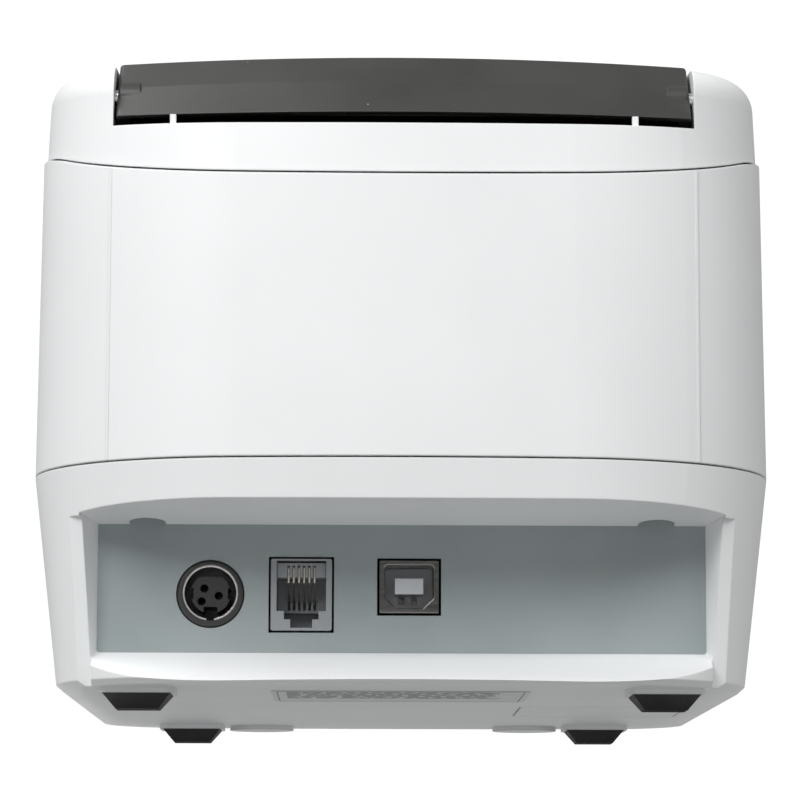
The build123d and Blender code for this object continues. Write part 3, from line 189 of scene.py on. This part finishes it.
# ---------------------------------------------------------------- finishes, by the record's slot names
FINISHES = {
    "shell_white": surface("shell_white", (0.82, 0.83, 0.835), (0.85, 0.86, 0.865), (0.34, 0.42), 25, 1800,
                           0.12, 0.02, edge=0.5),
    "lid_charcoal": surface("lid_charcoal", (0.03, 0.03, 0.028), (0.041, 0.041, 0.038), (0.34, 0.44), 40,
                            1500, 0.3, 0.04, edge=0.4, dust=(0.3, 0.3, 0.28)),
    "lid_inner_brown": surface("lid_inner_brown", (0.05, 0.032, 0.022), (0.07, 0.045, 0.033), (0.35, 0.45)),
    "panel_paint": surface("panel_paint", (0.29, 0.33, 0.335), (0.325, 0.365, 0.37), (0.38, 0.48), 30, 900,
                           0.2, 0.02, edge=0.15),
    "black_plastic": surface("black_plastic", grey(0.012), grey(0.02), (0.35, 0.5)),
    "jack_grey": surface("jack_grey", (0.27, 0.285, 0.3), (0.30, 0.315, 0.33), (0.35, 0.45), edge=0.15),
    "bright_metal": brushed("bright_metal", grey(0.75, 0.03), grey(0.85, 0.02), (0.12, 0.22), edge=0.1),
    "nickel": brushed("nickel", grey(0.12, 0.06), grey(0.17, 0.05), roughness=(0.14, 0.22), edge=0.3),
    "contact_gold": brushed("contact_gold", (0.56, 0.5, 0.42), (0.66, 0.6, 0.52), (0.2, 0.3), edge=0.05),
    "light_plastic": surface("light_plastic", (0.56, 0.58, 0.61), (0.62, 0.64, 0.67), (0.3, 0.4), edge=0.15),
    "inner_grey": surface("inner_grey", grey(0.1), grey(0.125), (0.45, 0.6)),
    "board_green": surface("board_green", (0.012, 0.09, 0.035), (0.02, 0.12, 0.05), (0.25, 0.4), 200, 900),
    "capacitor_black": surface("capacitor_black", (0.02, 0.02, 0.035), (0.03, 0.03, 0.05), (0.2, 0.3)),
    "steel": brushed("steel", grey(0.5), grey(0.6)),
    "motor_steel": brushed("motor_steel", grey(0.35), grey(0.45), roughness=(0.3, 0.45)),
    "head_ceramic": surface("head_ceramic", (0.5, 0.46, 0.38), (0.58, 0.54, 0.46), (0.12, 0.2)),
    "heatsink_aluminium": brushed("heatsink_aluminium", grey(0.62), grey(0.72), roughness=(0.3, 0.42)),
    "clear_plastic": clear_plastic("clear_plastic"),
    "label_film": surface("label_film", (0.60, 0.61, 0.615), (0.64, 0.65, 0.655), (0.3, 0.4), 120, 1200,
                          0.1, 0.01, edge=0.1),
    "foot_rubber": surface("foot_rubber", grey(0.008), grey(0.014), (0.55, 0.75), 150, 2200, 0.35, 0.04,
                           edge=0.5),
    "platen_rubber": surface("platen_rubber", grey(0.014), grey(0.024), (0.6, 0.8), 200, 3000, 0.3, 0.03),
    "bushing_plastic": surface("bushing_plastic", grey(0.5, 0.08), grey(0.56, 0.08), (0.35, 0.45)),
    "gear_plastic": surface("gear_plastic", grey(0.66, 0.07), grey(0.73, 0.06), (0.35, 0.45), edge=0.1),
    "brass": brushed("brass", (0.65, 0.47, 0.18), (0.78, 0.58, 0.25), roughness=(0.22, 0.35), edge=0.08),
    "button_grey": surface("button_grey", grey(0.13), grey(0.155), (0.4, 0.5), edge=0.5),
}
SLOT_OF = {entry["node"]: entry["material_slot"] for entry in frame["record"]["subparts"]}

for node_name, cad_object in nodes.items():
    cad_object.data.materials.clear()
    cad_object.data.materials.append(FINISHES[SLOT_OF[node_name]])


# ---------------------------------------------------------------- small surface details
SUNK = 0.4 * MM                     # raised marks reach this far into the surface that they stand on
INK = 0.02 * MM
RAISED = 0.14 * MM
CORNER_STEPS, RING_STEPS = 4, 32


def on_surface(node, start, direction, up):
    """Matrix where a ray meets a node: Z along the surface's normal, Y near up."""
    mesh = nodes[node].data
    tree = BVHTree.FromPolygons([vertex.co.copy() for vertex in mesh.vertices],
                                [tuple(face.vertices) for face in mesh.polygons])
    spot, normal, _, _ = tree.ray_cast(Vector(start), Vector(direction))
    side = Vector(up).cross(normal).normalized()
    turn = Matrix((side, normal.cross(side), normal)).transposed().to_4x4()
    return Matrix.Translation(spot) @ turn


def middle(node):
    """Middle of a node's box."""
    low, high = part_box(node)
    return (Vector(low) + Vector(high)) / 2


def prism(bm, points, low, high, place):
    """Adds a closed prism from an outline in the plane of place."""
    rings = [[bm.verts.new(place @ Vector((x, y, level))) for x, y in points] for level in (low, high)]
    bm.faces.new(rings[0][::-1])
    bm.faces.new(rings[1])
    for i in range(len(points)):
        j = (i + 1) % len(points)
        bm.faces.new((rings[0][i], rings[0][j], rings[1][j], rings[1][i]))


def bar(bm, centre, size, low, high, place, round_share=0.4):
    """Adds a bar with rounded corners."""
    half_x, half_y = size[0] / 2, size[1] / 2
    radius = min(half_x, half_y) * round_share
    points = []
    for quarter, (sign_x, sign_y) in enumerate(((1, 1), (-1, 1), (-1, -1), (1, -1))):
        for step in range(CORNER_STEPS + 1):
            angle = math.pi / 2 * (quarter + step / CORNER_STEPS)
            points.append((centre[0] + sign_x * (half_x - radius) + radius * math.cos(angle),
                           centre[1] + sign_y * (half_y - radius) + radius * math.sin(angle)))
    prism(bm, points, low, high, place)


def ring(bm, centre, outer, width, low, high, place):
    """Adds a flat ring."""
    loops = []
    for radius, level in ((outer, low), (outer, high), (outer - width, high), (outer - width, low)):
        corners = []
        for step in range(RING_STEPS):
            turn = 2 * math.pi * step / RING_STEPS
            x = centre[0] + radius * math.cos(turn)
            y = centre[1] + radius * math.sin(turn)
            corners.append(bm.verts.new(place @ Vector((x, y, level))))
        loops.append(corners)
    for loop, following in zip(loops, loops[1:] + loops[:1]):
        for i in range(RING_STEPS):
            j = (i + 1) % RING_STEPS
            bm.faces.new((loop[i], loop[j], following[j], following[i]))


def make_piece(name, bm, slot, body):
    """Turns a bmesh into a piece that rides on a body."""
    bmesh.ops.recalc_face_normals(bm, faces=bm.faces)
    mesh = bpy.data.meshes.new(name)
    bm.to_mesh(mesh)
    bm.free()
    piece = bpy.data.objects.new(name, mesh)
    bpy.context.scene.collection.objects.link(piece)
    mesh.materials.append(FINISHES[slot])
    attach(piece, body)


def label_rules():
    """Printed frame and plain ruled rows on the label, with no lettering."""
    low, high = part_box("rating_label")
    width, depth = high[0] - low[0], high[1] - low[1]
    spot = middle("rating_label")
    place = on_surface("rating_label", (spot.x, spot.y, -MM), (0, 0, 1), (0, 1, 0))
    margin, line = 1.2 * MM, 0.25 * MM
    row_inset, row_pitch, row_height = 3.2 * MM, 2.0 * MM, 0.8 * MM
    left_inset, right_inset, blank_depth = 3 * MM, 8 * MM, 12 * MM
    bm = bmesh.new()
    for side in (-1, 1):
        bar(bm, (0, side * (depth / 2 - margin)), (width - 2 * margin, line), 0, INK, place)
        bar(bm, (side * (width / 2 - margin), 0), (line, depth - 2 * margin), 0, INK, place)
    shuffle = random.Random(7)
    row = depth / 2 - row_inset
    while row > -depth / 2 + blank_depth:
        x = -width / 2 + left_inset
        while x < width / 2 - right_inset:
            length = shuffle.uniform(1.5, 5.0) * MM
            bar(bm, (x + length / 2, row), (length, row_height), 0, INK, place)
            x += length + shuffle.uniform(0.6, 1.3) * MM
        row -= row_pitch
    make_piece("label_rules", bm, "button_grey", "base")


def rocker_marks():
    """Raised on and off marks on the power rocker."""
    spot = middle("power_rocker")
    reach = 4.2 * MM
    bm = bmesh.new()
    upper = on_surface("power_rocker", (spot.x, -1, spot.z + reach), (0, 1, 0), (0, 0, 1))
    bar(bm, (0, 0), (0.7 * MM, 3.0 * MM), -SUNK, RAISED, upper)
    lower = on_surface("power_rocker", (spot.x, -1, spot.z - reach), (0, 1, 0), (0, 0, 1))
    ring(bm, (0, 0), 1.6 * MM, 0.6 * MM, -SUNK, RAISED, lower)
    make_piece("rocker_marks", bm, "light_plastic", "power_rocker")


def feed_arrow():
    """Raised paper-feed arrow on the feed button."""
    spot = middle("feed_button")
    place = on_surface("feed_button", (spot.x, spot.y, 1), (0, 0, -1), (0, 1, 0))
    arrow = [(-2.4, -0.4), (0, 2.2), (2.4, -0.4), (1.5, -0.4), (0, 1.2), (-1.5, -0.4)]
    bm = bmesh.new()
    prism(bm, [(x * MM, y * MM) for x, y in arrow], -SUNK, RAISED, place)
    bar(bm, (0, -1.8 * MM), (3.6 * MM, 0.6 * MM), -SUNK, RAISED, place)
    make_piece("feed_arrow", bm, "light_plastic", "feed_button")


def release_ribs():
    """Grip ribs across the lid release button."""
    count, pitch = 5, 2.7 * MM
    low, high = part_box("release_button")
    spot = middle("release_button")
    bm = bmesh.new()
    for i in range(count):
        y = spot.y + (i - (count - 1) / 2) * pitch
        place = on_surface("release_button", (spot.x, y, 1), (0, 0, -1), (0, 1, 0))
        bar(bm, (0, 0), (high[0] - low[0] - 1.6 * MM, 0.9 * MM), -SUNK, 2 * RAISED, place, 0.95)
    make_piece("release_ribs", bm, "button_grey", "release_button")


def light_marks():
    """A short printed bar in front of each status light."""
    low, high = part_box("light_pipes")
    radius = (high[1] - low[1]) / 2
    bm = bmesh.new()
    for share in (0.0, 0.5, 1.0):
        x = low[0] + radius + (high[0] - low[0] - 2 * radius) * share
        place = on_surface("control_panel", (x, low[1] - 2 * MM, 1), (0, 0, -1), (0, 1, 0))
        bar(bm, (0, 0), (2.2 * MM, 0.45 * MM), -SUNK, INK, place)
    make_piece("light_marks", bm, "light_plastic", "base")


label_rules()
rocker_marks()
feed_arrow()
release_ribs()
light_marks()


# ---------------------------------------------------------------- stage
FLOOR_HALF = 3.0
FLOOR_GLOW = 0.25                   # keeps the far floor pale, where the lamps fade
AMBIENT, BACKGROUND = 0.33, 1.05
LAMP_SIZE = 0.6
LAMPS = {                           # place in metres, and power in watts
    "key": ((0.42, 0.95, 0.78), 10.2),
    "fill": ((-0.8, 0.85, 1.05), 6.0),
    "top": ((0.6, 0.15, 1.1), 6.0),
}
AIM = (0.0, 0.0, 0.062)             # the lamps point at the middle of the printer

CAMERA_DISTANCE = 0.7               # behind the case
CAMERA_X, CAMERA_Z = 9.6 * MM, -38.9 * MM
CAMERA_YAW, CAMERA_PITCH, CAMERA_ROLL = -0.72, 7.85, 0.15           # degrees off a level view of the rear
CAMERA_LENS, SENSOR_WIDTH = 166.6, 36.0


def make_floor(half):
    """Pale floor that is only there from above, so the view from below stays open."""
    mesh = bpy.data.meshes.new("floor")
    corners = [(-half, -half, 0), (half, -half, 0), (half, half, 0), (-half, half, 0)]
    mesh.from_pydata(corners, [], [(0, 1, 2, 3)])
    floor = bpy.data.objects.new("floor", mesh)
    bpy.context.scene.collection.objects.link(floor)
    material, tree, shader = new_material("floor")
    coords = tree.nodes.new("ShaderNodeTexCoord")
    colour = ramp(tree, noise(tree, coords, 6.0).outputs["Fac"], grey(0.78), grey(0.82))
    tree.links.new(colour.outputs["Color"], shader.inputs["Base Color"])
    shader.inputs["Roughness"].default_value = 0.6
    shader.inputs["Emission Color"].default_value = (1, 1, 1, 1)
    shader.inputs["Emission Strength"].default_value = FLOOR_GLOW
    facing = tree.nodes.new("ShaderNodeNewGeometry")
    clear = tree.nodes.new("ShaderNodeBsdfTransparent")
    mix = tree.nodes.new("ShaderNodeMixShader")
    tree.links.new(facing.outputs["Backfacing"], mix.inputs["Fac"])
    tree.links.new(shader.outputs["BSDF"], mix.inputs[1])
    tree.links.new(clear.outputs["BSDF"], mix.inputs[2])
    tree.links.new(mix.outputs["Shader"], tree.nodes["Material Output"].inputs["Surface"])
    mesh.materials.append(material)
    floor.visible_shadow = False
    floor.visible_diffuse = False


def area_light(name, place, power):
    """Soft square lamp that points at the printer."""
    light = bpy.data.lights.new(name, "AREA")
    light.energy = power
    light.size = LAMP_SIZE
    lamp = bpy.data.objects.new(name, light)
    lamp.location = place
    lamp.rotation_euler = (Vector(AIM) - Vector(place)).to_track_quat("-Z", "Y").to_euler()
    bpy.context.scene.collection.objects.link(lamp)


def make_world(light_level, seen_level):
    """Even studio light, with a white background where the camera sees past the object."""
    world = bpy.data.worlds.new("studio")
    world.use_nodes = True
    tree = world.node_tree
    tree.nodes["Background"].inputs["Strength"].default_value = light_level
    seen = tree.nodes.new("ShaderNodeBackground")
    seen.inputs["Color"].default_value = (1, 1, 1, 1)
    seen.inputs["Strength"].default_value = seen_level
    tree.nodes["Background"].inputs["Color"].default_value = (1, 1, 1, 1)
    path = tree.nodes.new("ShaderNodeLightPath")
    mix = tree.nodes.new("ShaderNodeMixShader")
    tree.links.new(path.outputs["Is Camera Ray"], mix.inputs["Fac"])
    tree.links.new(tree.nodes["Background"].outputs["Background"], mix.inputs[1])
    tree.links.new(seen.outputs["Background"], mix.inputs[2])
    tree.links.new(mix.outputs["Shader"], tree.nodes["World Output"].inputs["Surface"])
    bpy.context.scene.world = world


def rotation(degrees, axis):
    """Rotation matrix about one axis."""
    return Matrix.Rotation(math.radians(degrees), 3, axis)


def make_camera():
    """Camera behind the printer and a little below it, looking slightly up."""
    data = bpy.data.cameras.new("camera")
    data.lens = CAMERA_LENS
    data.sensor_width = SENSOR_WIDTH
    camera = bpy.data.objects.new("camera", data)
    rear = cad_box[1][1]
    camera.location = (CAMERA_X, rear + CAMERA_DISTANCE, CAMERA_Z)
    turn = rotation(180 + CAMERA_YAW, "Z") @ rotation(90 + CAMERA_PITCH, "X") @ rotation(CAMERA_ROLL, "Z")
    camera.rotation_euler = turn.to_euler()
    bpy.context.scene.collection.objects.link(camera)
    bpy.context.scene.camera = camera


make_floor(FLOOR_HALF)
make_world(AMBIENT, BACKGROUND)
for lamp_name, (lamp_place, lamp_power) in LAMPS.items():
    area_light(lamp_name, lamp_place, lamp_power)
make_camera()
bpy.context.scene.view_settings.view_transform = "Standard"
